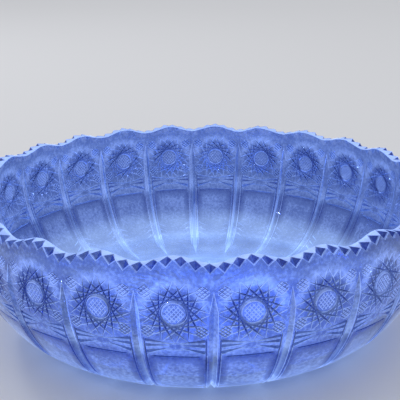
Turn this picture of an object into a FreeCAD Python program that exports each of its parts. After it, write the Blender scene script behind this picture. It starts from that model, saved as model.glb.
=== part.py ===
"""Hand-cut glass bowl: one shallow round bowl of thick glass, cut all over the outside.

The bowl is a single piece of glass. From the top its outside has a scalloped and notched rim, a
narrow plain band, a ring of hobstars, a belt of bow-tie fans and a ring of plain windows, and a
star is cut into the underside. Twenty-four upright mitre cuts part the panels.

The frame: millimetres, +Z up, the origin on the axis at the middle of the resting ring.
Two fifteen-degree slices are cut, which differ only in where the rim notches fall, and copies of
them are sewn in turn into the whole bowl.
"""
import FreeCAD
import Part

import math
import os

from FreeCAD import Vector

# ---- driving dimensions ----
PANELS = 24                     # hobstar panels round the bowl
HEIGHT = 90.0                   # resting ring to the crests of the rim
GIRTH_RADIUS = 141.7            # outside radius at the widest level
GIRTH_LEVEL = 72.3              # height of the widest level
WALL = 6.5                      # wall thickness
SIDE_ARC = 90.0                 # radius of the upper side, seen in section
SIDE_TURN = 35.0                # degrees below the girth where the side meets the heel
HEEL_ARC = 45.0                 # radius of the heel, seen in section
HEEL_TURN = 80.0                # degrees below level where the heel meets the foot
FOOT_RADIUS = 80.0              # outside radius of the resting ring
FOOT_BAND = 9.0                 # width of the resting ring
FOOT_RECESS = 0.8               # the star field lies this far above the resting ring

SCALLOP_DIP = 3.7               # valleys of the rim below its crests
SCALLOP_REACH = 0.44            # half a valley's width, as a share of the panel's
NOTCHES = 132                   # notches round the rim, eleven to two panels
NOTCH_DROP = 3.4                # how far a notch runs down the outside
NOTCH_RUN = 4.6                 # how far a notch runs in over the top of the rim
NOTCH_LAND = 0.25               # plain glass left between two notches

MITRE_TOP = 15.0                # where an upright mitre starts, down the wall from the rim
MITRE_FULL = 26.0               # where it reaches full depth
MITRE_WIDTH = 4.4
MITRE_DEPTH = 1.7

HOB_DROP = 26.5                 # hobstar centre, down the wall from the rim
HOB_BUTTON = 6.1                # radius of the round button
HOB_GROOVE = 0.7                # radius of the wheel mark round the button
HOB_SINK = 0.1                  # its middle lies this far under the surface
HOB_POINTS = 16
HOB_INNER = 7.6                 # where a point starts, from the middle of the star
HOB_OUTER = 16.6                # where it runs out
HOB_DEEPEST = 0.4               # where along a point it is deepest
HOB_WIDTH = 2.0
HOB_DEPTH = 0.8

BELT_TOP = 41.0                 # bow-tie fans, down the wall from the rim
BELT_BOTTOM = 50.0
BELT_WAIST = 44.5               # the level that the cuts draw together to
BELT_PINCH = 0.25               # spread of their narrow ends, as a share of the broad ends'
BELT_CUTS = 3                   # cuts to each half of a bow tie
BELT_SIDE = 14.6                # from the middle of the panel to the broad end
BELT_NECK = 1.8                 # from the middle of the panel to the narrow end
BELT_DEEPEST = 0.7
BELT_WIDTH = 2.2
BELT_DEPTH = 0.8

STAR_INNER = 9.0                # star under the base
STAR_OUTER = 64.0
STAR_DEEPEST = 0.72
STAR_WIDTH = 7.0
STAR_DEPTH = 2.2

PROUD = 0.6                     # a cutting tool stands this far off the surface
LAP = 0.5                       # degrees that the two runs of a mitre share
OVERRUN = 12.0                  # degrees that a mitre runs on past the heel
NOTCH_LEAD = 3.0                # how far a notch's tool runs past the notch's inner end
NOTCH_TAIL = 4.0                # and past its lower end
NOTCH_GROW = 2.2                # size of a notch's tool, as a multiple of the notch
PLANE_TOLERANCE = 1e-4          # a corner this near a plane lies on it

# ---- worked out from them ----
NOTCH_TURN = 360.0 / NOTCHES
SLICE = 360.0 / PANELS
SIDE_CENTRE = (GIRTH_RADIUS - SIDE_ARC, GIRTH_LEVEL)
SIDE_END = (
    SIDE_CENTRE[0] + SIDE_ARC * math.cos(math.radians(SIDE_TURN)),
    SIDE_CENTRE[1] - SIDE_ARC * math.sin(math.radians(SIDE_TURN)),
)
HEEL_CENTRE = (
    SIDE_END[0] - HEEL_ARC * math.cos(math.radians(SIDE_TURN)),
    SIDE_END[1] + HEEL_ARC * math.sin(math.radians(SIDE_TURN)),
)
RIM_TURN = math.degrees(math.asin((HEIGHT - GIRTH_LEVEL) / SIDE_ARC))
SIDE_LENGTH = SIDE_ARC * math.radians(RIM_TURN + SIDE_TURN)


def polar(centre, radius, turn):
    """A section point at a turn, in degrees below level, on an arc: (radius, height)."""
    angle = math.radians(turn)
    return (centre[0] + radius * math.cos(angle), centre[1] - radius * math.sin(angle))


def section(point):
    """A section point as a vector in the XZ plane."""
    return Vector(point[0], 0.0, point[1])


def arc(centre, radius, start, end):
    """An arc edge of the section between two turns."""
    middle = (start + end) / 2.0
    points = [section(polar(centre, radius, turn)) for turn in (start, middle, end)]
    return Part.Arc(*points).toShape()


def line(start, end):
    """A straight edge of the section."""
    return Part.LineSegment(section(start), section(end)).toShape()


def bowl_section():
    """Half of the bowl cut through its axis: wall, floor and resting ring."""
    inner_side = SIDE_ARC - WALL
    inner_heel = HEEL_ARC - WALL
    inner_rim = -math.degrees(math.asin((HEIGHT - GIRTH_LEVEL) / inner_side))
    heel_foot = polar(HEEL_CENTRE, HEEL_ARC, HEEL_TURN)
    floor_height = HEEL_CENTRE[1] - inner_heel
    recess_edge = FOOT_RADIUS - FOOT_BAND
    edges = [
        arc(SIDE_CENTRE, SIDE_ARC, -RIM_TURN, SIDE_TURN),
        arc(HEEL_CENTRE, HEEL_ARC, SIDE_TURN, HEEL_TURN),
        line(heel_foot, (FOOT_RADIUS, 0.0)),
        line((FOOT_RADIUS, 0.0), (recess_edge, 0.0)),
        line((recess_edge, 0.0), (recess_edge - FOOT_RECESS, FOOT_RECESS)),
        line((recess_edge - FOOT_RECESS, FOOT_RECESS), (0.0, FOOT_RECESS)),
        line((0.0, FOOT_RECESS), (0.0, floor_height)),
        line((0.0, floor_height), (HEEL_CENTRE[0], floor_height)),
        arc(HEEL_CENTRE, inner_heel, 90.0, SIDE_TURN),
        arc(SIDE_CENTRE, inner_side, SIDE_TURN, inner_rim),
        line(polar(SIDE_CENTRE, inner_side, inner_rim), polar(SIDE_CENTRE, SIDE_ARC, -RIM_TURN)),
    ]
    return Part.Face(Part.Wire(edges))


def wall_point(across, down):
    """A place on the outside, across the panel and down the wall, and its outward normal."""
    if down <= SIDE_LENGTH:
        centre, radius = SIDE_CENTRE, SIDE_ARC
        turn = math.degrees(down / SIDE_ARC) - RIM_TURN
    else:
        centre, radius = HEEL_CENTRE, HEEL_ARC
        turn = SIDE_TURN + math.degrees((down - SIDE_LENGTH) / HEEL_ARC)
    place = section(polar(centre, radius, turn))
    normal = section((math.cos(math.radians(turn)), -math.sin(math.radians(turn))))
    spin = FreeCAD.Rotation(Vector(0, 0, 1), math.degrees(across / place.x))
    return spin.multVec(place), spin.multVec(normal)


def solid_from_faces(faces):
    """A closed solid from lists of corner points, one list to a flat face."""
    shell = Part.Shell([Part.Face(Part.makePolygon(list(face) + [face[0]])) for face in faces])
    solid = Part.Solid(shell)
    if solid.Volume < 0:
        solid.reverse()
    return solid


def boat_cut(start, end, deepest, normal, width, depth):
    """The glass that a mitre wheel takes out: a V cut that runs out at both ends.

    start and end lie on the surface, deepest says how far along the cut is deepest (0 to 1).
    The tool stands proud of the surface so that it clears the bulge of the wall.
    """
    middle = start + (end - start) * deepest
    side = (end - start).cross(normal)
    side.normalize()
    flare = (depth + PROUD) / depth
    head = start + normal * PROUD
    tail = end + normal * PROUD
    keel = middle - normal * depth
    left = middle + side * (width / 2.0 * flare) + normal * PROUD
    right = middle - side * (width / 2.0 * flare) + normal * PROUD
    return solid_from_faces([
        (head, left, keel),
        (left, tail, keel),
        (tail, right, keel),
        (right, head, keel),
        (head, left, right),
        (tail, left, right),
    ])


def wall_cut(start, end, deepest, width, depth):
    """A boat cut between two places on the wall, each given as (across, down)."""
    place = (
        start[0] + (end[0] - start[0]) * deepest,
        start[1] + (end[1] - start[1]) * deepest,
    )
    return boat_cut(
        wall_point(*start)[0], wall_point(*end)[0], deepest, wall_point(*place)[1], width, depth
    )


def groove_run(centre, radius, start, end):
    """A V groove of even depth that follows one arc of the section."""
    flare = (MITRE_DEPTH + PROUD) / MITRE_DEPTH
    keel = section(polar(centre, radius - MITRE_DEPTH, start))
    crown = section(polar(centre, radius + PROUD, start))
    aside = Vector(0, MITRE_WIDTH / 2.0 * flare, 0)
    outline = Part.Face(Part.makePolygon([keel, crown + aside, crown - aside, keel]))
    return outline.revolve(section(centre), Vector(0, 1, 0), end - start)


def mitre():
    """One upright mitre, from a point under the plain band to the foot."""
    down_turn = math.degrees(MITRE_FULL / SIDE_ARC) - RIM_TURN
    lead_in = wall_cut(
        (0, MITRE_TOP), (0, 2 * MITRE_FULL - MITRE_TOP), 0.5, MITRE_WIDTH, MITRE_DEPTH
    )
    side_run = groove_run(SIDE_CENTRE, SIDE_ARC, down_turn, SIDE_TURN + LAP)
    heel_run = groove_run(HEEL_CENTRE, HEEL_ARC, SIDE_TURN - LAP, HEEL_TURN + OVERRUN)
    return [lead_in, side_run, heel_run]


def rim_level(turn):
    """Height of the rim at a turn from the crest, in degrees: crests and valleys in turn."""
    return HEIGHT - SCALLOP_DIP * (1.0 - math.cos(math.radians(turn * PANELS))) / 2.0


def scallop(turn):
    """The glass above one valley of the rim: a round bar laid across the wall."""
    reach = SCALLOP_REACH * 2 * math.pi * GIRTH_RADIUS / PANELS
    radius = (reach ** 2 + SCALLOP_DIP ** 2) / (2 * SCALLOP_DIP)
    start = GIRTH_RADIUS - 3 * WALL
    bar = Part.makeCylinder(
        radius, 5 * WALL, Vector(start, 0, HEIGHT - SCALLOP_DIP + radius), Vector(1, 0, 0)
    )
    bar.rotate(Vector(0, 0, 0), Vector(0, 0, 1), turn)
    return bar


def notch(turn):
    """One V notch over the outside corner of the rim."""
    rim_radius = polar(SIDE_CENTRE, SIDE_ARC, -RIM_TURN)[0]
    level = rim_level(turn)
    slope = Vector(NOTCH_RUN, 0, -NOTCH_DROP)
    slope.normalize()
    lean = Vector(NOTCH_DROP, 0, NOTCH_RUN)
    lean.normalize()
    slant = math.hypot(NOTCH_RUN, NOTCH_DROP)
    bite = NOTCH_RUN * NOTCH_DROP / slant
    pitch = 2 * math.pi * rim_radius / NOTCHES
    half = pitch / 2.0 - NOTCH_LAND / 2.0
    inside = Vector(rim_radius - NOTCH_RUN, 0, level) - slope * NOTCH_LEAD
    tall = lean * (bite * NOTCH_GROW)
    aside = Vector(0, half * NOTCH_GROW, 0)
    outline = Part.Face(Part.makePolygon([
        inside, inside + tall + aside, inside + tall - aside, inside,
    ]))
    tool = outline.extrude(slope * (slant + NOTCH_LEAD + NOTCH_TAIL))
    tool.rotate(Vector(0, 0, 0), Vector(0, 0, 1), turn)
    return tool


def hobstar():
    """A round button in a groove, with a ring of radial points."""
    place, normal = wall_point(0, HOB_DROP)
    cuts = [Part.makeTorus(HOB_BUTTON, HOB_GROOVE, place - normal * HOB_SINK, normal)]
    for index in range(HOB_POINTS):
        angle = 2 * math.pi * index / HOB_POINTS
        ends = [
            (reach * math.sin(angle), HOB_DROP - reach * math.cos(angle))
            for reach in (HOB_INNER, HOB_OUTER)
        ]
        cuts.append(wall_cut(ends[0], ends[1], HOB_DEEPEST, HOB_WIDTH, HOB_DEPTH))
    return cuts


def bow_tie():
    """Fans of level cuts, broad at the mitres and drawn together in mid-panel."""
    cuts = []
    for hand in (-1, 1):
        for index in range(BELT_CUTS):
            share = (index + 0.5) / BELT_CUTS
            broad = BELT_TOP + (BELT_BOTTOM - BELT_TOP) * share
            narrow = BELT_WAIST + (broad - BELT_WAIST) * BELT_PINCH
            start = (hand * BELT_NECK, narrow)
            end = (hand * BELT_SIDE, broad)
            cuts.append(wall_cut(start, end, BELT_DEEPEST, BELT_WIDTH, BELT_DEPTH))
    return cuts


def star_point():
    """One ray of the star cut into the underside."""
    start = Vector(STAR_INNER, 0, FOOT_RECESS)
    end = Vector(STAR_OUTER, 0, FOOT_RECESS)
    return boat_cut(start, end, STAR_DEEPEST, Vector(0, 0, -1), STAR_WIDTH, STAR_DEPTH)


def notches(first):
    """The notches that reach into a slice, where first is the turn of one of them in the slice."""
    reach = SLICE / 2.0 + NOTCH_TURN / 2.0
    steps = math.ceil(reach / NOTCH_TURN) + 1
    turns = [first + NOTCH_TURN * step for step in range(-steps, steps + 1)]
    return [notch(turn) for turn in turns if abs(turn) < reach]


def panel(first_notch):
    """One fifteen-degree slice of the bowl with everything that is cut into it."""
    slab = bowl_section().revolve(Vector(0, 0, 0), Vector(0, 0, 1), SLICE)
    slab.rotate(Vector(0, 0, 0), Vector(0, 0, 1), -SLICE / 2.0)
    half = SLICE / 2.0
    slab = slab.cut([scallop(-half), scallop(half)])
    slab = slab.cut(notches(first_notch))
    grooves = []
    for turn in (-half, half):
        for tool in mitre():
            tool.rotate(Vector(0, 0, 0), Vector(0, 0, 1), turn)
            grooves.append(tool)
    slab = slab.cut(grooves)
    slab = slab.cut(hobstar() + bow_tie() + [star_point()])
    return slab


def on_slice_plane(face):
    """Whether a face lies on one of the two upright planes that bound a slice."""
    for hand in (-1, 1):
        turn = math.radians(hand * SLICE / 2.0)
        normal = Vector(-math.sin(turn), math.cos(turn), 0)
        if all(abs(vertex.Point.dot(normal)) < PLANE_TOLERANCE for vertex in face.Vertexes):
            if abs(face.CenterOfMass.dot(normal)) < PLANE_TOLERANCE:
                return True
    return False


def whole_bowl():
    """Two kinds of slice set round the axis in turn and sewn along their shared edges.

    A notch stands over every second star, and the stars between have one on each side.
    """
    slabs = [panel(0.0), panel(NOTCH_TURN / 2.0)]
    skins = [[face for face in slab.Faces if not on_slice_plane(face)] for slab in slabs]
    faces = []
    for index in range(PANELS):
        for face in skins[index % len(skins)]:
            copy = face.copy()
            copy.rotate(Vector(0, 0, 0), Vector(0, 0, 1), -90.0 + index * SLICE)
            faces.append(copy)
    shell = Part.makeShell(faces)
    shell.sewShape()
    solid = Part.Solid(shell if shell.ShapeType == "Shell" else shell.Shells[0])
    if solid.Volume < 0:
        solid.reverse()
    return solid


def main():
    os.makedirs("parts", exist_ok=True)
    bowl = whole_bowl()
    box = bowl.BoundBox
    print("glass_bowl valid", bowl.isValid(), "faces", len(bowl.Faces), "volume", bowl.Volume)
    print("box", box.XLength, box.YLength, box.ZLength, "from", box.ZMin)
    bowl.exportStep("parts/glass_bowl.step")


main()
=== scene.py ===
"""The looks of the cut glass bowl: one closed glass mesh with every cut modelled, on a pale floor."""

import math

import bmesh
import bpy
import numpy as np
from mathutils import Matrix, Vector


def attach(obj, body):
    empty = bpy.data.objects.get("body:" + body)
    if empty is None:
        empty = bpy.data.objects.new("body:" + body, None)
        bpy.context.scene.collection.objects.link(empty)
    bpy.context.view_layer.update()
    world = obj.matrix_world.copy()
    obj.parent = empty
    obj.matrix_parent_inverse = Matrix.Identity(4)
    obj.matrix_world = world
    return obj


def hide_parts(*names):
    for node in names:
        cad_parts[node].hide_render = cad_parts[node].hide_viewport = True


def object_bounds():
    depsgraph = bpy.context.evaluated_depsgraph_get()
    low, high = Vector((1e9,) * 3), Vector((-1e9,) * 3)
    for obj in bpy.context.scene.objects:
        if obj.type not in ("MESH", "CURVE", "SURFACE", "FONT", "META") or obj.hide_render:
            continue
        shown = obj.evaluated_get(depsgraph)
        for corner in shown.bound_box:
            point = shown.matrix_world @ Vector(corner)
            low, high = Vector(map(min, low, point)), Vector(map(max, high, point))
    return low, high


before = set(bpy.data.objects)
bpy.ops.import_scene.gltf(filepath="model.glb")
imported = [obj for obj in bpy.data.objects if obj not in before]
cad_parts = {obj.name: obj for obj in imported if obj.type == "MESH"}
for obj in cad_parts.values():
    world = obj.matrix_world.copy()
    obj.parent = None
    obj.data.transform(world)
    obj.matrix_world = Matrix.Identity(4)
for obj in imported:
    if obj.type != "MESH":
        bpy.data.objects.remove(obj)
cad_low, cad_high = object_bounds()

MM = 0.001

# ---------------------------------------------------------------- sizes, in millimetres

# The blank, as the CAD has it.
PANELS = 24
HEIGHT = (cad_high.z - cad_low.z) / MM
GIRTH_RADIUS = 141.7
GIRTH_LEVEL = 72.3
WALL = 6.5
SIDE_ARC = 90.0
SIDE_TURN = math.radians(35.0)
HEEL_ARC = 45.0
HEEL_TURN = math.radians(80.0)
FOOT_RADIUS = 80.0
FOOT_BAND = 9.0
FOOT_RECESS = 0.8
FIRST_AZIMUTH = math.radians(-90.0)   # a hobstar faces the front

# The rim.
SCALLOP_DIP = 3.7
SCALLOP_UNEVEN = 0.13                 # share by which the scallops differ in depth
RIM_UNEVEN = 0.25                     # and how far the whole rim waves
SCALLOP_FADE = 14.0                   # the scallop's pull on the wall ends this far down
NOTCHES = 132                         # round the rim, eleven to two panels
NOTCH_DROP = 3.4
NOTCH_RUN = 4.6
NOTCH_LAND = 0.25
NOTCH_KEEL = 0.8                      # a notch is shaded as a cut this deep
NOTCH_EDGE = 0.16                     # share of a notch's facet that is its painted bright edge
LIP_ROUND = 0.7                       # the inside edge of the rim is fire-polished

# The chart: across the panel, down the wall, proud of the surface.
COLUMNS = 2 * NOTCHES                 # the mesh has one at each notch and one at each land
HALF_STEPS = COLUMNS / PANELS / 2     # columns from the middle of a panel to its side
COLUMN_TURN = 2 * math.pi / COLUMNS
PANEL_WIDTH = 2 * math.pi * GIRTH_RADIUS / PANELS
HALF = PANEL_WIDTH / 2
COLUMN = HALF / HALF_STEPS
ROW = 4.0                             # the wall is split about this often, so that it bends
SLAB = 5.0                            # thickness of the chart's glass
MARGIN = 5.0                          # the slab reaches this far past the chart's sides
PROUD = 0.8                           # tools stand this far off the glass
SNAP = 2e-3                           # a split passes through corners this near to it
SEAM_SNAP = 3e-3                      # and corners this near to a panel's side are moved onto it
WELD = 0.004                          # corners closer than this are one
SLIVER = 0.001
CHART_FLATNESS = math.radians(0.3)    # cut faces that turn by less are one
CREASE = math.radians(14.0)           # edges that turn by more are shaded sharp
UPRIGHT = 1e-3                        # the chart's top faces look up by more than this
ALMOST = 1e-6
INNER_ROWS = 22                       # rings down the inside, and then rings across the floor
FLOOR_ROWS = (0.2, 0.4, 0.6, 0.8, 0.92)

# The mitres between the panels, and the narrow cuts that frame the windows beside them.
MITRE_TOP = 15.0
MITRE_LEAD = 11.0
MITRE_TAIL = 14.0
MITRE_STOP = 1.5                      # short of the wall's foot
MITRE_WIDTH = 4.4
MITRE_DEPTH = 1.7
MITRE_BRIM = 0.1                      # facets whose middle lies this far outside still belong to it
REED_ASIDE = 3.5
REED_TOP = 39.0
REED_STOP = 15.5
REED_LEAD = 3.0
REED_TAIL = 12.0
REED_WIDTH = 1.3
REED_DEPTH = 0.5

# The hobstar.
HOB_DROP = 26.5
HOB_POINTS = 16
HOB_SKIP = 6                          # each cut joins a point to the sixth one on
HOB_OUTER = 17.6
HOB_WIDTH = 1.3
HOB_DEPTH = 0.65
HOB_TAPER = 8.0
BUTTON_RADIUS = 6.1
BUTTON_GROOVE = 1.3
BUTTON_DEPTH = 0.8
BUTTON_SIDES = 32

# The belt of bow ties: two fans that meet in the middle of the panel.
BELT_CUTS = (                         # broad end, narrow end, width: levels down the wall
    (41.9, 43.4, 2.2),
    (45.2, 44.6, 2.4),
    (49.8, 45.9, 2.6),
)
BELT_SIDE = 14.9
BELT_NECK = 1.4
BELT_LEAD = 0.5
BELT_DEPTH = 1.25
SEAM_LEVELS = (43.6, 47.6)            # thin level lines through the bow tie
SEAM_WIDTH = 0.5
SEAM_DEPTH = 0.22
SEAM_TAPER = 3.0
SILL_LEVEL = 52.6                     # a level cut over each window
SILL_SIDE = 13.0
SILL_WIDTH = 1.1
SILL_DEPTH = 0.5
SILL_TAPER = 2.0

# Crossed cuts: patches between the stars, and finer ones on the buttons.
HATCH_PITCH = 1.6
HATCH_TAPER = 1.0
HATCH_PLACES = ((12.9, 36.6), (13.4, 15.6))
HATCH_RADIUS = 3.5
HATCH_LINES = 4
HATCH_LEAN = math.radians(38.0)
HATCH_WIDTH = 0.9
HATCH_DEPTH = 0.4
BUTTON_HATCH = 4.9
BUTTON_LINES = 6
BUTTON_LEAN = math.radians(50.0)
BUTTON_LINE_WIDTH = 0.5
BUTTON_LINE_DEPTH = 0.16

# Slanting cuts beside the mitres, above the foot.
SLANT_LEVELS = (80.0, 85.0, 90.0)
SLANT_OUTER = 14.2
SLANT_INNER = 7.0
SLANT_DROP = 4.0
SLANT_WIDTH = 1.3
SLANT_DEPTH = 0.5
SLANT_LEAD = 1.5

# The star under the base: a main ray to each panel, and a shorter one between.
STAR_INNER = 6.0
STAR_OUTER = 66.0
STAR_WIDTH = 9.0
STAR_DEPTH = 2.6
STAR_DEEPEST = 0.7                    # share of a main ray's length where it is deepest
BETWEEN_INNER = 30.0
BETWEEN_WIDTH = 4.95
BETWEEN_DEPTH = 1.56
BETWEEN_DEEPEST = 0.6

# Worked out: the arcs of the section, and the distances down the wall where they meet.
SIDE_CENTRE = (GIRTH_RADIUS - SIDE_ARC, GIRTH_LEVEL)
RIM_TURN = math.asin((HEIGHT - GIRTH_LEVEL) / SIDE_ARC)
SIDE_LENGTH = SIDE_ARC * (RIM_TURN + SIDE_TURN)
HEEL_CENTRE = (
    SIDE_CENTRE[0] + (SIDE_ARC - HEEL_ARC) * math.cos(SIDE_TURN),
    SIDE_CENTRE[1] - (SIDE_ARC - HEEL_ARC) * math.sin(SIDE_TURN),
)
HEEL_LENGTH = HEEL_ARC * (HEEL_TURN - SIDE_TURN)
HEEL_FOOT = (
    HEEL_CENTRE[0] + HEEL_ARC * math.cos(HEEL_TURN),
    HEEL_CENTRE[1] - HEEL_ARC * math.sin(HEEL_TURN),
)
UNDER_LENGTH = math.hypot(HEEL_FOOT[0] - FOOT_RADIUS, HEEL_FOOT[1])
WALL_LENGTH = SIDE_LENGTH + HEEL_LENGTH + UNDER_LENGTH
INNER_RIM = math.asin((HEIGHT - GIRTH_LEVEL) / (SIDE_ARC - WALL))
INNER_SIDE = (SIDE_ARC - WALL) * (INNER_RIM + SIDE_TURN)
INNER_HEEL = (HEEL_ARC - WALL) * (math.pi / 2 - SIDE_TURN)
FLOOR_LEVEL = HEEL_CENTRE[1] - (HEEL_ARC - WALL)
RECESS_RADIUS = FOOT_RADIUS - FOOT_BAND - FOOT_RECESS
# The places round the bowl where its rings have a corner: every column, and the sides of the panels.
RING_STEPS = sorted({*range(COLUMNS), *(HALF_STEPS * (2 * panel + 1) for panel in range(PANELS))})

# ---------------------------------------------------------------- tones: painted light, shade and glow

# Painted light and shade on the cut facets: how light or dark a cut facet looks, where -1 is navy, 0 is
# plain glass and 1 is pale.
FLAT_TILT = (0.985, 0.999)            # upright share of a normal: below is a cut, above is plain
# The cuts are painted darker than the plain glass, as painted shade in the grooves; the mitres and the
# lip are painted lighter, as painted highlights.
CUT_TONE = -0.45
CROWN_TONE = -0.25                    # the upper points of a star, painted darker
CROWN_RADIUS = 11.0
CROWN_RISE = 5.0
BUTTON_TONE = -0.2
BELT_TONE = -0.8
MITRE_TONE = 0.15
LIP_TONE = 0.5
TOP_TONE = 0.1                        # the top of the rim, painted a little lighter
NOTCH_TONES = (-0.95, -0.6)           # a notch's left and right facets, painted dark as painted shade, the left darker
# A notch's thin edge is painted light: a painted highlight.
NOTCH_PAINTED_HIGHLIGHT = 0.3
PAINTED_LIGHT_FROM_ABOVE = 0.8                         # facets that lean up are painted lighter, as if lit from above
PAINTED_LIGHT_FROM_SIDE = 0.6                       # and so are those that lean to one side, as if lit from that side
BELT_LEAN = 0.2                       # shares of that in the belt and the mitres
MITRE_LEAN = 0.4
BASE_LEAN = 1.2

# Painted light and shade: lighter and darker stretches of the wall, added to its tone.
STAR_RING = (6.8, 12.0)               # round the button
STAR_RING_SHADE = -0.15
CROWN_RING = (13.0, 17.75)            # round the upper points of a star, painted lighter
CROWN_SHADE = 0.22
CROWN_FADE = (-2.0, 6.0)              # above the star's middle, where it begins and is full
BAND_FOOT = (11.0, 14.0)              # the plain band under the rim ends softly here
BAND_SHADE = 0.02
BELT_TOP = 41.0
BELT_SHADE = 0.12
WAIST_LEVEL = 45.4                    # a painted dark spot, painted shade, where a bow tie draws together
WAIST_REACH = (4.5, 1.8)
WAIST_FADE = (0.5, 1.0)               # shares of that reach
WAIST_SHADE = -0.22
WINDOW_TOP = 53.0                     # the plain windows: a painted dark border, a painted lighter middle
WINDOW_FOOT = 76.0
WINDOW_FADE = 5.0
WINDOW_BORDER = -0.34
WINDOW_MIDDLE = 0.08
INSIDE_SHADE = 0.35                   # the inside is smooth, and adds little colour

# Painted glow: where the glass is painted to glow, though it is no lamp, and where that glow gathers.
TOP_POOL = 0.2                        # on the rim
INSET_POOL = 0.14                     # less at the notches
LAND_POOL = 0.06
BAND_POOL = 0.12
MITRE_POOL = 0.30                     # the mitres are painted to glow beside the windows
PAINTED_FOOT_LINE = 0.55                      # a painted bright line along the heel
FOOT_LINE_DOWN = 94.0
FOOT_LINE_REACH = 4.5
HEEL_POOL = 0.45
HEEL_POOL_TOP = 92.0
HEEL_POOL_STOP = 4.0                  # full this far short of the wall's foot
INSIDE_POOL = 0.7                     # over the floor
INSIDE_POOL_SPAN = (62.0, 78.0)       # distances down the inside where it begins and is full
BASE_POOL = 1.0


# ---------------------------------------------------------------- the blank's section

def outside(down):
    """Radius, height and outward normal of the outside, at distances down the wall."""
    side = down / SIDE_ARC - RIM_TURN
    heel = SIDE_TURN + (down - SIDE_LENGTH) / HEEL_ARC
    on_side = down <= SIDE_LENGTH
    on_heel = down <= SIDE_LENGTH + HEEL_LENGTH
    turn = np.where(on_side, side, heel)
    centre_r = np.where(on_side, SIDE_CENTRE[0], HEEL_CENTRE[0])
    centre_z = np.where(on_side, SIDE_CENTRE[1], HEEL_CENTRE[1])
    reach = np.where(on_side, SIDE_ARC, HEEL_ARC)
    share = (down - SIDE_LENGTH - HEEL_LENGTH) / UNDER_LENGTH
    under_r = HEEL_FOOT[0] + (FOOT_RADIUS - HEEL_FOOT[0]) * share
    under_z = HEEL_FOOT[1] * (1 - share)
    radius = np.where(on_heel, centre_r + reach * np.cos(turn), under_r)
    height = np.where(on_heel, centre_z - reach * np.sin(turn), under_z)
    normal_r = np.where(on_heel, np.cos(turn), HEEL_FOOT[1] / UNDER_LENGTH)
    normal_z = np.where(on_heel, -np.sin(turn), -(HEEL_FOOT[0] - FOOT_RADIUS) / UNDER_LENGTH)
    return radius, height, normal_r, normal_z


def inside(down):
    """Radius and height of the inside, at distances down from its nominal rim."""
    side = down / (SIDE_ARC - WALL) - INNER_RIM
    heel = SIDE_TURN + (down - INNER_SIDE) / (HEEL_ARC - WALL)
    on_side = down <= INNER_SIDE
    on_floor = down > INNER_SIDE + INNER_HEEL
    turn = np.where(on_side, side, heel)
    centre_r = np.where(on_side, SIDE_CENTRE[0], HEEL_CENTRE[0])
    centre_z = np.where(on_side, SIDE_CENTRE[1], HEEL_CENTRE[1])
    reach = np.where(on_side, SIDE_ARC, HEEL_ARC) - WALL
    floor_radius = HEEL_CENTRE[0] - (down - INNER_SIDE - INNER_HEEL)
    radius = np.where(on_floor, floor_radius, centre_r + reach * np.cos(turn))
    height = np.where(on_floor, FLOOR_LEVEL, centre_z - reach * np.sin(turn))
    return radius, height


def smooth(low, high, value):
    """0 below low, 1 above high, with a soft turn between."""
    share = np.clip((value - low) / (high - low), 0.0, 1.0)
    return share * share * (3 - 2 * share)


def wobble(azimuth, seed):
    """A slow uneven wave round the bowl, about -1 to 1, as a cutter's hand leaves."""
    total = np.zeros_like(azimuth)
    for index, waves in enumerate((3, 7, 11, 19, 26)):
        total += np.sin(waves * azimuth + 2.1 * seed + 1.7 * index) / (1.3 + 0.3 * index)
    return total / 2.0


def rim_dip(azimuth):
    """How far the rim lies below its crests: valleys at the mitres, crests between."""
    phase = (azimuth - FIRST_AZIMUTH) * PANELS
    even = (1 - np.cos(phase)) / 2
    scallop = SCALLOP_DIP * even * (1 + SCALLOP_UNEVEN * wobble(azimuth, 1.0))
    return scallop + RIM_UNEVEN * (1 + wobble(azimuth, 2.0)) / 2


def to_bowl(across, down, proud, panel):
    """Chart places to places in the frame, in millimetres."""
    azimuth = FIRST_AZIMUTH + (panel * PANEL_WIDTH + across) / GIRTH_RADIUS
    dip = rim_dip(azimuth)
    corner = SIDE_ARC * (RIM_TURN - np.arcsin((HEIGHT - GIRTH_LEVEL - dip) / SIDE_ARC))
    level = down + corner * (1 - smooth(NOTCH_DROP, SCALLOP_FADE, down))
    radius, height, normal_r, normal_z = outside(level)
    radius = radius + normal_r * proud
    height = height + normal_z * proud
    return np.stack([radius * np.cos(azimuth), radius * np.sin(azimuth), height], axis=1)


# ---------------------------------------------------------------- cutting in the chart

def mesh_object(name, vertices, faces):
    """A new object of these corners and faces, in the scene."""
    mesh = bpy.data.meshes.new(name)
    mesh.from_pydata([tuple(v) for v in vertices], [], faces)
    made = bpy.data.objects.new(name, mesh)
    bpy.context.scene.collection.objects.link(made)
    return made


def groove(start, end, width, depth, lead=None, tail=None):
    """A V cut from start to end that runs down to full depth over lead and up again over tail."""
    a, b = Vector((*start, 0.0)), Vector((*end, 0.0))
    length = (b - a).length
    along = (b - a) / length
    aside = Vector((-along.y, along.x, 0.0)) * (width / 2)
    lead = length / 2 if lead is None else lead
    tail = length - lead if tail is None else tail
    sink = Vector((0, 0, -depth))
    keel_a = a + along * lead + sink
    keel_b = b - along * tail + sink
    grow = (depth + PROUD) / depth

    def raised(keel, corner):
        return keel + (corner - keel) * grow

    head = raised(keel_a, a)
    foot = raised(keel_b, b)
    left_a = raised(keel_a, a + along * lead + aside)
    right_a = raised(keel_a, a + along * lead - aside)
    if length - lead - tail < ALMOST:
        points = [head, left_a, foot, right_a, keel_a]
        faces = [(0, 3, 2, 1), (0, 1, 4), (1, 2, 4), (2, 3, 4), (3, 0, 4)]
    else:
        left_b = raised(keel_b, b - along * tail + aside)
        right_b = raised(keel_b, b - along * tail - aside)
        points = [head, left_a, left_b, foot, right_b, right_a, keel_a, keel_b]
        faces = [
            (0, 5, 4, 3, 2, 1), (0, 1, 6), (1, 2, 7, 6), (2, 3, 7),
            (3, 4, 7), (4, 5, 6, 7), (5, 0, 6),
        ]
    return points, faces


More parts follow.
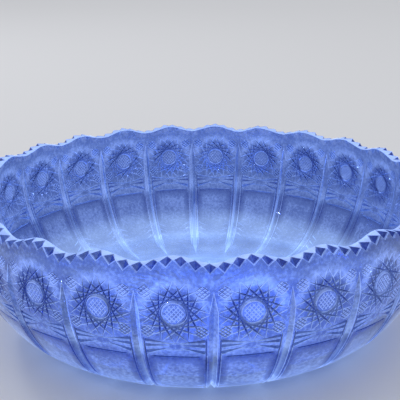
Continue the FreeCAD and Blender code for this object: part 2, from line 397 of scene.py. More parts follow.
def ring_groove(centre, radius, width, depth):
    """A round V cut."""
    grow = (depth + PROUD) / depth
    section = ((radius - width / 2 * grow, PROUD), (radius + width / 2 * grow, PROUD), (radius, -depth))
    points = []
    for index in range(BUTTON_SIDES):
        angle = 2 * math.pi * (index + 0.5) / BUTTON_SIDES
        for reach, level in section:
            place = (centre[0] + reach * math.cos(angle), centre[1] + reach * math.sin(angle), level)
            points.append(Vector(place))
    faces = []
    for index in range(BUTTON_SIDES):
        here = 3 * index
        following = 3 * ((index + 1) % BUTTON_SIDES)
        for first, second in ((0, 1), (1, 2), (2, 0)):
            faces.append((here + first, here + second, following + second, following + first))
    return points, faces


def slab_object(outline):
    """A flat slab of glass below the chart's outline."""
    count = len(outline)
    points = [(*p, 0.0) for p in outline] + [(*p, -SLAB) for p in outline]
    faces = [tuple(range(count)), tuple(reversed(range(count, 2 * count)))]
    for index in range(count):
        following = (index + 1) % count
        faces.append((index, count + index, count + following, following))
    return mesh_object("slab", points, faces)


def tool_object(points, faces):
    """A closed tool whose faces all look outwards."""
    tool = mesh_object("tool", points, faces)
    work = bmesh.new()
    work.from_mesh(tool.data)
    bmesh.ops.recalc_face_normals(work, faces=work.faces)
    work.to_mesh(tool.data)
    work.free()
    return tool


def cut_chart(outline, tools, keep_inside, splits):
    """A flat slab with the tools taken out of it, split along planes: its cut top as triangles."""
    slab = slab_object(outline)
    made = []
    for points, faces in tools:
        tool = tool_object(points, faces)
        modifier = slab.modifiers.new("cut", "BOOLEAN")
        modifier.operation = "DIFFERENCE"
        modifier.solver = "MANIFOLD"
        modifier.object = tool
        made.append(tool)
    bpy.context.view_layer.update()
    result = bpy.data.meshes.new_from_object(slab.evaluated_get(bpy.context.evaluated_depsgraph_get()))
    chart = bmesh.new()
    chart.from_mesh(result)
    bmesh.ops.dissolve_limit(
        chart, angle_limit=CHART_FLATNESS, verts=chart.verts, edges=chart.edges,
        use_dissolve_boundaries=False, delimit=set(),
    )
    hidden = [f for f in chart.faces if f.normal.z < UPRIGHT]
    bmesh.ops.delete(chart, geom=hidden, context="FACES")
    planes = [(place, direction, True) for place, direction in keep_inside]
    planes += [(place, direction, False) for place, direction in splits]
    for place, direction, clear in planes:
        bmesh.ops.bisect_plane(
            chart, geom=chart.verts[:] + chart.edges[:] + chart.faces[:], dist=SNAP,
            plane_co=place, plane_no=direction, clear_outer=clear,
        )
    bmesh.ops.triangulate(chart, faces=chart.faces[:], quad_method="BEAUTY", ngon_method="BEAUTY")
    chart.verts.index_update()
    vertices = np.array([v.co[:] for v in chart.verts], float)
    triangles = np.array([[v.index for v in f.verts] for f in chart.faces], int)
    chart.free()
    bpy.data.meshes.remove(result)
    for made_object in made + [slab]:
        mesh = made_object.data
        bpy.data.objects.remove(made_object)
        bpy.data.meshes.remove(mesh)
    return vertices, triangles


def hobstar_cuts():
    """A round button, and chords that join sixteen points on a circle round it."""
    tools = [ring_groove((0.0, HOB_DROP), BUTTON_RADIUS, BUTTON_GROOVE, BUTTON_DEPTH)]
    for index in range(HOB_POINTS):
        ends = []
        for point in (index, index + HOB_SKIP):
            angle = 2 * math.pi * point / HOB_POINTS
            ends.append((HOB_OUTER * math.sin(angle), HOB_DROP - HOB_OUTER * math.cos(angle)))
        tools.append(groove(ends[0], ends[1], HOB_WIDTH, HOB_DEPTH, HOB_TAPER, HOB_TAPER))
    return tools


def belt_cuts():
    """The fans of a bow tie, the thin lines through it, and the cut over the window."""
    tools = []
    for hand in (-1, 1):
        for broad, narrow, width in BELT_CUTS:
            start = (hand * BELT_SIDE, broad)
            end = (hand * BELT_NECK, narrow)
            tools.append(groove(start, end, width, BELT_DEPTH, BELT_LEAD))
    for level in SEAM_LEVELS:
        start = (-BELT_SIDE, level)
        end = (BELT_SIDE, level)
        tools.append(groove(start, end, SEAM_WIDTH, SEAM_DEPTH, SEAM_TAPER, SEAM_TAPER))
    start = (-SILL_SIDE, SILL_LEVEL)
    end = (SILL_SIDE, SILL_LEVEL)
    tools.append(groove(start, end, SILL_WIDTH, SILL_DEPTH, SILL_TAPER, SILL_TAPER))
    return tools


def mitre_cuts():
    """The upright mitres at both sides of a panel, with a narrow cut on each side of them."""
    tools = []
    for hand in (-1, 1):
        start = (hand * HALF, MITRE_TOP)
        end = (hand * HALF, WALL_LENGTH - MITRE_STOP)
        tools.append(groove(start, end, MITRE_WIDTH, MITRE_DEPTH, MITRE_LEAD, MITRE_TAIL))
        for side in (-1, 1):
            across = hand * HALF + side * REED_ASIDE
            start = (across, REED_TOP)
            end = (across, WALL_LENGTH - REED_STOP)
            tools.append(groove(start, end, REED_WIDTH, REED_DEPTH, REED_LEAD, REED_TAIL))
    return tools


def hatch(middle, radius, lines, lean, width, depth):
    """Crossed cuts that fill a round patch."""
    tools = []
    for turn in (-lean, lean):
        along = Vector((math.cos(turn), math.sin(turn)))
        aside = Vector((-along.y, along.x))
        for index in range(lines):
            step = (index - (lines - 1) / 2) * HATCH_PITCH
            reach = along * math.sqrt(radius ** 2 - step ** 2)
            place = Vector(middle) + aside * step
            start = tuple(place - reach)
            end = tuple(place + reach)
            tools.append(groove(start, end, width, depth, HATCH_TAPER, HATCH_TAPER))
    return tools


def hatch_cuts():
    """Crossed cuts in the corners between a star and the mitres, and finer ones on the button."""
    button = (0.0, HOB_DROP)
    tools = hatch(button, BUTTON_HATCH, BUTTON_LINES, BUTTON_LEAN, BUTTON_LINE_WIDTH, BUTTON_LINE_DEPTH)
    for hand in (-1, 1):
        for across, down in HATCH_PLACES:
            place = (hand * across, down)
            tools += hatch(place, HATCH_RADIUS, HATCH_LINES, HATCH_LEAN, HATCH_WIDTH, HATCH_DEPTH)
    return tools


def slant_cuts():
    """Short slanting cuts beside the mitres, above the foot."""
    tools = []
    for hand in (-1, 1):
        for level in SLANT_LEVELS:
            start = (hand * SLANT_OUTER, level)
            end = (hand * SLANT_INNER, level + SLANT_DROP)
            tools.append(groove(start, end, SLANT_WIDTH, SLANT_DEPTH, SLANT_LEAD))
    return tools


def wall_chart():
    """Half of one panel of the wall, cut and split into rows and columns."""
    low, high = -MARGIN, HALF + MARGIN
    outline = [(low, NOTCH_DROP), (high, NOTCH_DROP), (high, WALL_LENGTH), (low, WALL_LENGTH)]
    keep = [((0, 0, 0), (-1, 0, 0)), ((HALF, 0, 0), (1, 0, 0))]
    splits = [((COLUMN * step, 0, 0), (1, 0, 0)) for step in range(1, math.ceil(HALF_STEPS))]
    rows = round((WALL_LENGTH - NOTCH_DROP) / ROW)
    for row in range(1, rows):
        level = NOTCH_DROP + (WALL_LENGTH - NOTCH_DROP) * row / rows
        splits.append(((0, level, 0), (0, 1, 0)))
    tools = hobstar_cuts() + belt_cuts() + mitre_cuts() + hatch_cuts() + slant_cuts()
    return cut_chart(outline, tools, keep, splits)


def ray(turn, inner, width, depth, deepest):
    """One ray of the star under the base."""
    spoke = Vector((math.cos(turn), math.sin(turn)))
    return groove(spoke * inner, spoke * STAR_OUTER, width, depth, (STAR_OUTER - inner) * deepest)


def base_chart():
    """The star under the base: half of one panel's sector."""
    outline = [(0.0, 0.0)]
    for step in sorted((*range(-2, math.ceil(HALF_STEPS) + 3), HALF_STEPS)):
        turn = step * COLUMN_TURN
        outline.append((RECESS_RADIUS * math.cos(turn), RECESS_RADIUS * math.sin(turn)))
    half_turn = math.pi / PANELS
    tools = []
    for turn in (-2 * half_turn, 0.0, 2 * half_turn):
        tools.append(ray(turn, STAR_INNER, STAR_WIDTH, STAR_DEPTH, STAR_DEEPEST))
    for turn in (-half_turn, half_turn):
        tools.append(ray(turn, BETWEEN_INNER, BETWEEN_WIDTH, BETWEEN_DEPTH, BETWEEN_DEEPEST))
    keep = [((0, 0, 0), (0, -1, 0)), ((0, 0, 0), (-math.sin(half_turn), math.cos(half_turn), 0))]
    return cut_chart(outline, tools, keep, [])


# ---------------------------------------------------------------- the bowl's surface

class Skin:
    """The bowl's corners and triangles in millimetres, with its marks at each corner and face: depth,
    and the painted light, shade and glow of its glass.
    """

    MARKS = ("depth", "shade", "glow", "pool")

    def __init__(self):
        self.corners = []
        self.faces = []
        self.facets = []
        self.marks = {name: [] for name in self.MARKS}
        self.count = 0

    def add(self, corners, faces, facets=0.0, **marks):
        count = len(corners)
        self.corners.append(np.asarray(corners, float))
        self.faces.append(np.asarray(faces, int) + self.count)
        self.facets.append(np.broadcast_to(np.asarray(facets, float), len(faces)))
        for name in self.MARKS:
            self.marks[name].append(np.broadcast_to(np.asarray(marks.get(name, 0.0), float), count))
        self.count += count

    def strip(self, upper, lower, facets=0.0, **marks):
        """A band of triangles between two closed rings; each mark is a pair, above and below."""
        count = len(upper)
        here = np.arange(count)
        following = (here + 1) % count
        faces = np.concatenate([
            np.stack([here, here + count, following], axis=1),
            np.stack([following, here + count, following + count], axis=1),
        ])
        marks = {name: np.repeat(value, count) for name, value in marks.items()}
        self.add(np.concatenate([upper, lower]), faces, facets, **marks)


def ring(radius, height, azimuth):
    """Places round the bowl, at one radius and height or at one of each for every azimuth."""
    radius = np.broadcast_to(radius, azimuth.shape)
    height = np.broadcast_to(height, azimuth.shape)
    return np.stack([radius * np.cos(azimuth), radius * np.sin(azimuth), height], axis=1)


def ring_azimuth():
    """The azimuths of the corners of the bowl's rings."""
    return FIRST_AZIMUTH + np.array(RING_STEPS, float) * COLUMN_TURN


def face_normals(corners, faces):
    """The normals of triangles, one long each."""
    first, second, third = (corners[faces[:, k]] for k in range(3))
    normal = np.cross(second - first, third - first)
    return normal / np.maximum(np.linalg.norm(normal, axis=1, keepdims=True), 1e-12)


def wall_facets(corners, faces):
    """For each hand, the painted light and shade of the chart's triangles, how light or dark they look:
    0 where the glass isn't cut.
    """
    normal = face_normals(corners, faces)
    across, down = corners[faces].mean(axis=1)[:, :2].T
    from_button = np.hypot(across, down - HOB_DROP)
    cut = 1 - smooth(*FLAT_TILT, np.abs(normal[:, 2]))
    mitre = (across > HALF - MITRE_WIDTH / 2 - MITRE_BRIM) & (down > MITRE_TOP)
    belt = (down > BELT_TOP) & (down < WINDOW_TOP)
    button = from_button < BUTTON_RADIUS + BUTTON_GROOVE / 2
    crown = (from_button > CROWN_RADIUS) & (down < HOB_DROP - CROWN_RISE)
    # Painted shade: the cuts are darker, each kind by its own tone.
    tone = np.select(
        [mitre, belt, button, crown], [MITRE_TONE, BELT_TONE, BUTTON_TONE, CROWN_TONE], CUT_TONE,
    )
    share = np.select([mitre, belt], [MITRE_LEAN, BELT_LEAN], 1.0)
    facets = {}
    for hand in (1, -1):
        # Painted light: facets that lean up or to one side are lighter, as if lit from there.
        lean = -normal[:, 1] * PAINTED_LIGHT_FROM_ABOVE - hand * normal[:, 0] * PAINTED_LIGHT_FROM_SIDE
        facets[hand] = cut * np.clip(tone + lean * share, -1, 1)
    return facets


def wall_shade(across, down):
    """Painted light and shade: lighter and darker stretches of the wall."""
    in_window = smooth(WINDOW_TOP, WINDOW_TOP + WINDOW_FADE, down)
    in_window = in_window * smooth(REED_ASIDE, REED_ASIDE + WINDOW_FADE, HALF - across)
    window = smooth(WINDOW_TOP - 1, WINDOW_TOP, down)
    window = window * (1 - smooth(WINDOW_FOOT, WINDOW_FOOT + WINDOW_FADE, down))
    shade = window * (WINDOW_MIDDLE * in_window + WINDOW_BORDER * (1 - in_window))
    from_button = np.hypot(across, down - HOB_DROP)
    low, high = STAR_RING
    star = smooth(low - 1, low + 1, from_button) * (1 - smooth(high - 1, high + 1, from_button))
    low, high = CROWN_RING
    crown = smooth(low - 1, low + 1, from_button) * (1 - smooth(high - 0.75, high + 0.75, from_button))
    crown = crown * smooth(*CROWN_FADE, HOB_DROP - down)
    belt = smooth(BELT_TOP, BELT_TOP + 2, down) * (1 - smooth(WINDOW_TOP - 3, WINDOW_TOP - 1, down))
    from_waist = np.hypot(across / WAIST_REACH[0], (down - WAIST_LEVEL) / WAIST_REACH[1])
    waist = 1 - smooth(*WAIST_FADE, from_waist)
    shade = shade + STAR_RING_SHADE * star + CROWN_SHADE * crown + BAND_SHADE * in_band(down)
    return shade + BELT_SHADE * belt + WAIST_SHADE * waist


def in_band(down):
    """1 in the plain band under the rim."""
    return smooth(NOTCH_DROP, NOTCH_DROP + 1, down) * (1 - smooth(*BAND_FOOT, down))


def wall_painted_glow_pool(across, down):
    """Painted glow: where it gathers on the wall."""
    keel = 1 - smooth(0.0, MITRE_WIDTH / 2, HALF - across)
    pool = MITRE_POOL * keel * smooth(BELT_TOP, WINDOW_TOP, down)
    pool = pool + HEEL_POOL * smooth(HEEL_POOL_TOP, WALL_LENGTH - HEEL_POOL_STOP, down)
    foot_line = np.exp(-((down - FOOT_LINE_DOWN) / FOOT_LINE_REACH) ** 2)
    return pool + BAND_POOL * in_band(down) + PAINTED_FOOT_LINE * foot_line


def add_wall(skin):
    """The half panel's chart, bent round the bowl twice for each panel."""
    corners, faces = wall_chart()
    facets = wall_facets(corners, faces)
    across, down, proud = corners.T
    across = np.where(np.abs(across) < SEAM_SNAP, 0.0, across)
    across = np.where(np.abs(across - HALF) < SEAM_SNAP, HALF, across)
    shade = wall_shade(across, down)
    pool = wall_painted_glow_pool(across, down)
    for panel in range(PANELS):
        for hand in (1, -1):
            skin.add(
                to_bowl(hand * across, down, proud, panel),
                faces[:, ::-1] if hand == 1 else faces,
                facets[hand], depth=-proud, shade=shade, glow=1.0, pool=pool,
            )


def add_rim(skin):
    """Teeth between the notches, the notches' facets, the top of the rim and its lip."""
    steps = np.array(RING_STEPS, float)
    count = len(steps)
    across = steps * COLUMN
    azimuth = ring_azimuth()
    top = HEIGHT - rim_dip(azimuth)
    tips = to_bowl(across, np.full(count, NOTCH_DROP), 0.0, 0)
    near = to_bowl(across - NOTCH_LAND / 2, np.zeros(count), 0.0, 0)
    far = to_bowl(across + NOTCH_LAND / 2, np.zeros(count), 0.0, 0)
    edge = np.hypot(*to_bowl(across, np.zeros(count), 0.0, 0)[:, :2].T)
    inner = ring(edge - NOTCH_RUN, top, azimuth)
    lip = SIDE_CENTRE[0] + np.sqrt((SIDE_ARC - WALL) ** 2 - (top - GIRTH_LEVEL) ** 2)
    brink = ring(lip + LIP_ROUND, top, azimuth)
    corners = [tuple(place) for part in (tips, near, far, inner, brink) for place in part]
    tip, left, right, inset, back = (count * index + np.arange(count) for index in range(5))
    faces = []
    facets = []

    def add(face, tone=0.0):
        faces.append(face)
        facets.append(tone)

    def walk(land, stride):
        """Places from a land to the notch beside it, with a panel's side where one is between."""
        path = [land, (land + stride) % count]
        while steps[path[-1]] % 1:
            path.append((path[-1] + stride) % count)
        return path

    def notch_side(ridge, keel, run, tone):
        """One facet of a notch: a heart painted dark, as painted shade, and a painted bright edge, a
        painted highlight, where it meets the outside.
        """
        places = np.array([corners[index] for index in (ridge, keel, run)])
        first = len(corners)
        for place in (places[0], places[1]):
            corners.append(tuple(place + (places[2] - place) * NOTCH_EDGE))
        add((ridge, keel, first), NOTCH_PAINTED_HIGHLIGHT)
        add((keel, first + 1, first), NOTCH_PAINTED_HIGHLIGHT)
        add((first, first + 1, run), tone)
        return first

    for land in np.flatnonzero(steps % 2 == 0).tolist():
        behind = walk(land, -1)[::-1]
        ahead = walk(land, 1)
        for first, second in zip(behind, behind[1:]):
            add((tip[first], tip[second], left[land]))
            add((back[first], left[land], back[second]), TOP_TONE)
        for first, second in zip(ahead, ahead[1:]):
            add((right[land], tip[first], tip[second]))
            add((right[land], back[second], back[first]), TOP_TONE)
        add((left[land], tip[land], right[land]))
        add((left[land], right[land], back[land]), TOP_TONE)
        sides = ((left[land], behind[0]), (right[land], ahead[-1]))
        for (ridge, notch), tone in zip(sides, NOTCH_TONES):
            between = notch_side(ridge, tip[notch], inset[notch], tone)
            add((ridge, between, back[notch]), TOP_TONE)
            add((between, inset[notch], back[notch]), TOP_TONE)

    depth = np.zeros(len(corners))
    depth[5 * count:] = NOTCH_KEEL
    keel = np.flatnonzero(steps % 2 == 1)
    depth[tip[keel]] = NOTCH_KEEL
    depth[inset[keel]] = NOTCH_KEEL
    # Painted glow on the rim, most at its top.
    pool = np.zeros(len(corners))
    pool[back] = TOP_POOL
    pool[inset] = INSET_POOL
    pool[left] = LAND_POOL
    pool[right] = LAND_POOL
    skin.add(corners, faces, facets, depth=depth, glow=1.0, pool=pool)

    bend_in = LIP_ROUND * (1 - math.sqrt(0.5))
    bend = ring(lip + bend_in, top - bend_in, azimuth)
    wall_top = ring(lip, top - LIP_ROUND, azimuth)
    # The lip is painted light, a painted highlight, and painted to glow.
    skin.strip(brink, bend, LIP_TONE, glow=(1.0, 1.0), pool=(TOP_POOL, TOP_POOL))
    skin.strip(bend, wall_top, LIP_TONE, glow=(1.0, 1.0), pool=(TOP_POOL, 0.0))
    return wall_top


def add_inside(skin, wall_top):
    """The smooth inside, from the lip down the wall and across the floor."""
    azimuth = ring_azimuth()
    count = len(azimuth)
    dip = rim_dip(azimuth)
    crest = np.arcsin((HEIGHT - GIRTH_LEVEL - dip) / (SIDE_ARC - WALL))
    corner = (SIDE_ARC - WALL) * (INNER_RIM - crest)
    curved = INNER_SIDE + INNER_HEEL
    rows = list(np.linspace(LIP_ROUND, curved, INNER_ROWS)[1:])
    rows += [curved + HEEL_CENTRE[0] * share for share in FLOOR_ROWS]
    upper = wall_top
    upper_pool = 0.0
    for down in rows:
        level = down + corner * (1 - smooth(LIP_ROUND, SCALLOP_FADE, np.full(count, down)))
        radius, height = inside(level)
        lower = ring(radius, height, azimuth)
        # Painted glow gathers over the floor of the inside.
        lower_pool = INSIDE_POOL * float(smooth(*INSIDE_POOL_SPAN, down))
        skin.strip(upper, lower, shade=(INSIDE_SHADE, INSIDE_SHADE), pool=(upper_pool, lower_pool))
        upper = lower
        upper_pool = lower_pool
    here = np.arange(count)
    fan = np.stack([here, np.full(count, count), (here + 1) % count], axis=1)
    middle = np.array([[0.0, 0.0, FLOOR_LEVEL]])
    skin.add(np.concatenate([upper, middle]), fan, shade=INSIDE_SHADE, pool=INSIDE_POOL)


def add_base(skin):
    """The resting ring, and the recessed base with its star."""
    azimuth = ring_azimuth()
    foot = ring(FOOT_RADIUS, 0.0, azimuth)
    edge = ring(FOOT_RADIUS - FOOT_BAND, 0.0, azimuth)
    recess = ring(RECESS_RADIUS, FOOT_RECESS, azimuth)
    # The foot and the base are painted to glow.
    skin.strip(foot, edge, glow=(1.0, 1.0), pool=(HEEL_POOL, BASE_POOL))
    skin.strip(edge, recess, glow=(1.0, 1.0), pool=(BASE_POOL, BASE_POOL))
    corners, faces = base_chart()
    normal = face_normals(corners, faces)
    cut = 1 - smooth(*FLAT_TILT, np.abs(normal[:, 2]))
    east, north, proud = corners.T
    north = np.where(np.abs(north) < SEAM_SNAP, 0.0, north)
    turn = np.arctan2(north, east)
    reach = np.hypot(north, east)
    half_turn = math.pi / PANELS
    turn = np.where(np.abs(turn - half_turn) * reach < SEAM_SNAP, half_turn, turn)
    for panel in range(PANELS):
        for hand in (1, -1):
            azimuth = FIRST_AZIMUTH + panel * 2 * half_turn + hand * turn
            # Painted light and shade: the base star's facets are lighter or darker by how they lean.
            facets = cut * np.clip((normal[:, 0] + hand * normal[:, 1]) * BASE_LEAN, -1, 1)
            skin.add(
                ring(reach, FOOT_RECESS - proud, azimuth),
                faces if hand == -1 else faces[:, ::-1],
                facets, depth=-proud, glow=1.0, pool=BASE_POOL,
            )


def make_bowl():
    """The whole skin as one mesh, with its marks, its corners welded and its edges sharp at the cuts."""
    skin = Skin()
    add_wall(skin)
    wall_top = add_rim(skin)
    add_inside(skin, wall_top)
    add_base(skin)
    corners = np.concatenate(skin.corners) * MM
    bowl = mesh_object("cut_glass_bowl", corners.tolist(), np.concatenate(skin.faces).tolist())
    mesh = bowl.data
    for name, values in skin.marks.items():
        mark = mesh.attributes.new(name, "FLOAT", "POINT")
        mark.data.foreach_set("value", np.concatenate(values).astype(np.float32))
    facet = mesh.attributes.new("facet", "FLOAT", "FACE")
    facet.data.foreach_set("value", np.concatenate(skin.facets).astype(np.float32))
    work = bmesh.new()
    work.from_mesh(mesh)
    bmesh.ops.remove_doubles(work, verts=work.verts, dist=WELD * MM)
    bmesh.ops.dissolve_degenerate(work, edges=work.edges, dist=SLIVER * MM)
    bmesh.ops.recalc_face_normals(work, faces=work.faces)
    for face in work.faces:
        face.smooth = True
    for edge in work.edges:
        edge.smooth = len(edge.link_faces) == 2 and edge.calc_face_angle(0.0) < CREASE
    work.to_mesh(mesh)
    work.free()
    return bowl


# ---------------------------------------------------------------- glass

GLASS_IOR = 1.54
GLINT = (0.30, 0.42, 1.0)
# The base colour runs from navy through blue to pale, by each place's painted tone of light and shade.
NAVY = (0.004, 0.010, 0.120)
BLUE = (0.050, 0.088, 0.360)
PALE = (0.35, 0.50, 1.0)
# Painted glow from the same painted tone: the glass glows though it is no lamp.
NAVY_GLOW = (0.002, 0.006, 0.050)
BLUE_GLOW = (0.062, 0.090, 0.140)
PALE_GLOW = (0.225, 0.310, 0.570)
POOL_GLOW = (0.310, 0.450, 0.620)
POOL_LEVEL = 0.75                     # of the painted glow where it gathers, before clouds and facets change it
POOL_CLOUD = 0.7
POOL_FACET = 0.5
LEAST_CUT = 0.02                      # a facet mark this far from 0 is a cut
PAINTED_BRINK_HIGHLIGHT = 0.50                     # a cut's thin bright edges: a painted highlight
BRINK_DEPTHS = (0.05, 0.30)           # millimetres down a cut where they begin to fade and end
CLOUD_SCALE = 60.0                    # slow changes of colour
CLOUD_TONE = 0.3
SPECKLE_SCALE = 600.0                 # a fine mottle, painted to stand for the cuts seen through the glass
SPECKLE_TONE = 0.5
SMEAR_SCALE = 250.0                   # uneven gloss
SMEAR_SPAN = (0.35, 0.75)
SMEAR_ROUGHNESS = (0.01, 0.06)
WORN_ROUGHNESS = 0.35                 # the resting ring, scuffed up to these heights
WORN_HEIGHTS = (0.2 * MM, 0.6 * MM)
RIPPLE_SCALE = 110.0
RIPPLE_STRENGTH = 0.25
RIPPLE_HEIGHT = 0.4 * MM
HAZE_TINT = (0.2, 0.3, 0.5)
HAZE_DENSITY = 40.0
# Painted glow within the glass, though it is no lamp.
HAZE_GLOW = (0.22, 0.34, 0.85)
HAZE_STRENGTH = 6.0


class Nodes:
    """Short calls that add a material's nodes and link them."""

    def __init__(self, material):
        material.use_nodes = True
        self.nodes = material.node_tree.nodes
        self.links = material.node_tree.links

    def attribute(self, name):
        node = self.nodes.new("ShaderNodeAttribute")
        node.attribute_name = name
        return node.outputs["Fac"]

    def place(self):
        return self.nodes.new("ShaderNodeTexCoord").outputs["Object"]

    def spread(self, value, low, high, from_value, to_value):
        """A soft step from one value to the other between low and high."""
        node = self.nodes.new("ShaderNodeMapRange")
        node.interpolation_type = "SMOOTHSTEP"
        node.inputs["From Min"].default_value = low
        node.inputs["From Max"].default_value = high
        node.inputs["To Min"].default_value = from_value
        node.inputs["To Max"].default_value = to_value
        self.links.new(value, node.inputs["Value"])
        return node.outputs["Result"]

    def maths(self, operation, *values):
        node = self.nodes.new("ShaderNodeMath")
        node.operation = operation
        for value, socket in zip(values, node.inputs):
            if isinstance(value, float):
                socket.default_value = value
            else:
                self.links.new(value, socket)
        return node.outputs["Value"]

    def scaled(self, vector, scale):
        """A vector, a socket or three numbers, times a number."""
        node = self.nodes.new("ShaderNodeVectorMath")
        node.operation = "SCALE"
        if isinstance(vector, tuple):
            node.inputs[0].default_value = vector
        else:
            self.links.new(vector, node.inputs[0])
        self.links.new(scale, node.inputs["Scale"])
        return node.outputs["Vector"]

    def added(self, first, second):
        node = self.nodes.new("ShaderNodeVectorMath")
        node.operation = "ADD"
        self.links.new(first, node.inputs[0])
        self.links.new(second, node.inputs[1])
        return node.outputs["Vector"]

    def noise(self, scale, detail):
        node = self.nodes.new("ShaderNodeTexNoise")
        node.inputs["Scale"].default_value = scale
        node.inputs["Detail"].default_value = detail
        self.links.new(self.place(), node.inputs["Vector"])
        return node.outputs["Fac"]

    def ramp(self, value, low, middle, high):
        """A colour that runs from low at 0 through middle at a half to high at 1."""
        node = self.nodes.new("ShaderNodeValToRGB")
        elements = node.color_ramp.elements
        elements[0].color = (*low, 1)
        elements[1].color = (*high, 1)
        elements.new(0.5).color = (*middle, 1)
        self.links.new(value, node.inputs["Fac"])
        return node.outputs["Color"]


def glass_haze(kit):
    """The inside of the glass: it takes light in, and gives off a painted blue glow, though it is no
    lamp.
    """
    absorb = kit.nodes.new("ShaderNodeVolumeAbsorption")
    absorb.inputs["Color"].default_value = (*HAZE_TINT, 1)
    absorb.inputs["Density"].default_value = HAZE_DENSITY
    painted_glow_within = kit.nodes.new("ShaderNodeEmission")
    painted_glow_within.inputs["Color"].default_value = (*HAZE_GLOW, 1)
    painted_glow_within.inputs["Strength"].default_value = HAZE_STRENGTH
    both = kit.nodes.new("ShaderNodeAddShader")
    kit.links.new(absorb.outputs[0], both.inputs[0])
    kit.links.new(painted_glow_within.outputs[0], both.inputs[1])
    kit.links.new(both.outputs[0], kit.nodes["Material Output"].inputs["Volume"])


def glass_material():
    """Clear blue glass with painted light: a painted glow, and cut facets painted from navy to pale by
    how they lean.
    """
    material = bpy.data.materials.new("cut_glass_painted_glow")
    kit = Nodes(material)
    shader = kit.nodes["Principled BSDF"]

    facet = kit.attribute("facet")
    is_cut = kit.spread(kit.maths("ABSOLUTE", facet), 0.0, LEAST_CUT, 0.0, 1.0)
    # A painted highlight: a thin bright edge along each cut.
    brink = kit.maths("MULTIPLY", is_cut, kit.spread(kit.attribute("depth"), *BRINK_DEPTHS, 1.0, 0.0))
    cloud = kit.maths("SUBTRACT", kit.noise(CLOUD_SCALE, 3.0), 0.5)
    speckle = kit.maths("SUBTRACT", kit.noise(SPECKLE_SCALE, 2.0), 0.5)
    speckle = kit.maths("MULTIPLY", speckle, kit.attribute("glow"))
    # Painted light and shade: the facets' tone and the wall's shade, with random clouds and a painted
    # mottle.
    tone = kit.maths("MULTIPLY_ADD", facet, 0.5, 0.5)
    tone = kit.maths("ADD", tone, kit.attribute("shade"))
    tone = kit.maths("MULTIPLY_ADD", brink, PAINTED_BRINK_HIGHLIGHT, tone)
    tone = kit.maths("MULTIPLY_ADD", cloud, CLOUD_TONE, tone)
    tone = kit.maths("MULTIPLY_ADD", speckle, SPECKLE_TONE, tone)
    kit.links.new(kit.ramp(tone, NAVY, BLUE, PALE), shader.inputs["Base Color"])

    # Painted glow: from the painted tone, and where the glow is laid on.
    painted_tone_glow = kit.scaled(kit.ramp(tone, NAVY_GLOW, BLUE_GLOW, PALE_GLOW), kit.attribute("glow"))
    patch = kit.maths("MULTIPLY_ADD", cloud, POOL_CLOUD, POOL_LEVEL)
    patch = kit.maths("MULTIPLY_ADD", facet, POOL_FACET, patch)
    painted_pool_colour = kit.scaled(POOL_GLOW, kit.maths("MULTIPLY", kit.attribute("pool"), patch))
    kit.links.new(kit.added(painted_tone_glow, painted_pool_colour), shader.inputs["Emission Color"])
    shader.inputs["Emission Strength"].default_value = 1.0

    shader.inputs["Transmission Weight"].default_value = 1.0
    shader.inputs["IOR"].default_value = GLASS_IOR
    shader.inputs["Specular Tint"].default_value = (*GLINT, 1)
    split = kit.nodes.new("ShaderNodeSeparateXYZ")
    kit.links.new(kit.place(), split.inputs[0])
    worn = kit.spread(split.outputs["Z"], *WORN_HEIGHTS, WORN_ROUGHNESS, 0.0)
    smear = kit.spread(kit.noise(SMEAR_SCALE, 4.0), *SMEAR_SPAN, *SMEAR_ROUGHNESS)
    kit.links.new(kit.maths("MAXIMUM", worn, smear), shader.inputs["Roughness"])

    ripple = kit.nodes.new("ShaderNodeBump")
    ripple.inputs["Strength"].default_value = RIPPLE_STRENGTH
    ripple.inputs["Distance"].default_value = RIPPLE_HEIGHT
    kit.links.new(kit.noise(RIPPLE_SCALE, 2.0), ripple.inputs["Height"])
    kit.links.new(ripple.outputs["Normal"], shader.inputs["Normal"])

    glass_haze(kit)
    return material


# ---------------------------------------------------------------- stage, light and camera

FLOOR_SIZE = 40.0                     # metres from the middle to a side
FLOOR_GAP = 0.0002
FLOOR_COLOUR = (0.72, 0.73, 0.76)
FLOOR_ROUGHNESS = 0.9

SKY_LOW = (0.035, 0.045, 0.09)        # at the horizon, and overhead
SKY_HIGH = (1.0, 1.0, 1.0)
SKY_SPAN = (0.1, 0.75)                # the upward share of a direction where one turns to the other
SKY_STRENGTH = 0.95
LAMPS = (                             # name, place and size in metres, power, seen in reflections
    ("key", (-1.3, 1.1, 1.6), 0.35, 7.0, False),
    ("glint", (-1.5, -1.0, 1.7), 0.05, 1.0, True),
)
LAMP_AIM = (0, 0, 0.04)

CAMERA_REACH = 497.7                  # millimetres from the middle of the rim's plane
CAMERA_RISE = math.radians(16.11)
CAMERA_ASIDE = math.radians(5.11)
CAMERA_TILT = math.radians(17.98)
CAMERA_ROLL = math.radians(-0.57)
LENS = 73.1
SENSOR = 36.0
NEAREST = 0.01                        # metres: nothing closer is drawn


def make_floor():
    """A plain pale floor, just under the resting ring."""
    corners = [(x * FLOOR_SIZE, y * FLOOR_SIZE, 0) for x, y in ((-1, -1), (1, -1), (1, 1), (-1, 1))]
    floor = mesh_object("floor", corners, [(0, 1, 2, 3)])
    material = bpy.data.materials.new("pale_floor")
    material.use_nodes = True
    shader = material.node_tree.nodes["Principled BSDF"]
    shader.inputs["Base Color"].default_value = (*FLOOR_COLOUR, 1)
    shader.inputs["Roughness"].default_value = FLOOR_ROUGHNESS
    floor.data.materials.append(material)
    floor.location.z = -FLOOR_GAP


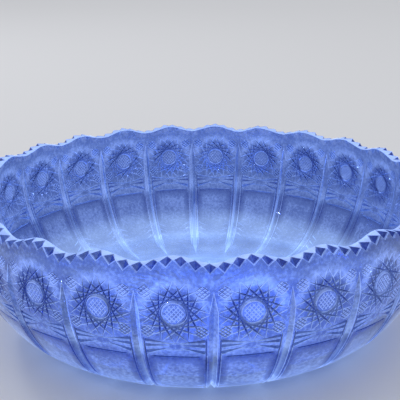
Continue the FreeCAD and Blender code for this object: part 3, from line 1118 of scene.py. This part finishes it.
def make_sky():
    """Soft light from overhead: a wide pale ceiling that falls off to a dim horizon."""
    world = bpy.data.worlds.new("studio")
    bpy.context.scene.world = world
    world.use_nodes = True
    nodes, links = world.node_tree.nodes, world.node_tree.links
    back = nodes["Background"]
    place = nodes.new("ShaderNodeTexCoord")
    split = nodes.new("ShaderNodeSeparateXYZ")
    rise = nodes.new("ShaderNodeMapRange")
    rise.interpolation_type = "SMOOTHSTEP"
    rise.inputs["From Min"].default_value = SKY_SPAN[0]
    rise.inputs["From Max"].default_value = SKY_SPAN[1]
    mix = nodes.new("ShaderNodeMix")
    mix.data_type = "RGBA"
    mix.inputs["A"].default_value = (*SKY_LOW, 1)
    mix.inputs["B"].default_value = (*SKY_HIGH, 1)
    links.new(place.outputs["Generated"], split.inputs[0])
    links.new(split.outputs["Z"], rise.inputs["Value"])
    links.new(rise.outputs["Result"], mix.inputs["Factor"])
    links.new(mix.outputs["Result"], back.inputs["Color"])
    back.inputs["Strength"].default_value = SKY_STRENGTH


def make_lamps():
    """Two small lamps, high on the left: one for the shade of the cuts, one for their glints."""
    for name, place, size, power, reflected in LAMPS:
        data = bpy.data.lights.new(name, "AREA")
        data.size = size
        data.energy = power
        lamp = bpy.data.objects.new(name, data)
        bpy.context.scene.collection.objects.link(lamp)
        lamp.location = place
        lamp.visible_glossy = reflected
        lamp.rotation_euler = (Vector(LAMP_AIM) - Vector(place)).to_track_quat("-Z", "Y").to_euler()


def make_camera():
    """A camera a little to the right of the bowl's front, looking down over the rim."""
    data = bpy.data.cameras.new("camera")
    data.lens = LENS
    data.sensor_width = SENSOR
    data.clip_start = NEAREST
    camera = bpy.data.objects.new("camera", data)
    bpy.context.scene.collection.objects.link(camera)
    level = CAMERA_REACH * math.cos(CAMERA_RISE)
    rise = HEIGHT + CAMERA_REACH * math.sin(CAMERA_RISE)
    aside = math.sin(CAMERA_ASIDE)
    forward = math.cos(CAMERA_ASIDE)
    camera.location = Vector((level * aside, -level * forward, rise)) * MM
    flat = math.cos(CAMERA_TILT)
    ahead = Vector((-aside * flat, forward * flat, -math.sin(CAMERA_TILT)))
    turn = ahead.to_track_quat("-Z", "Y").to_matrix().to_4x4()
    turn = turn @ Matrix.Rotation(CAMERA_ROLL, 4, "Z")
    camera.rotation_euler = turn.to_euler()
    bpy.context.scene.camera = camera


# ---------------------------------------------------------------- the scene

bpy.context.scene.view_settings.view_transform = "Standard"
bowl = make_bowl()
bowl.data.materials.append(glass_material())
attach(bowl, "root")
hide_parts("glass_bowl")
make_floor()
make_sky()
make_lamps()
make_camera()
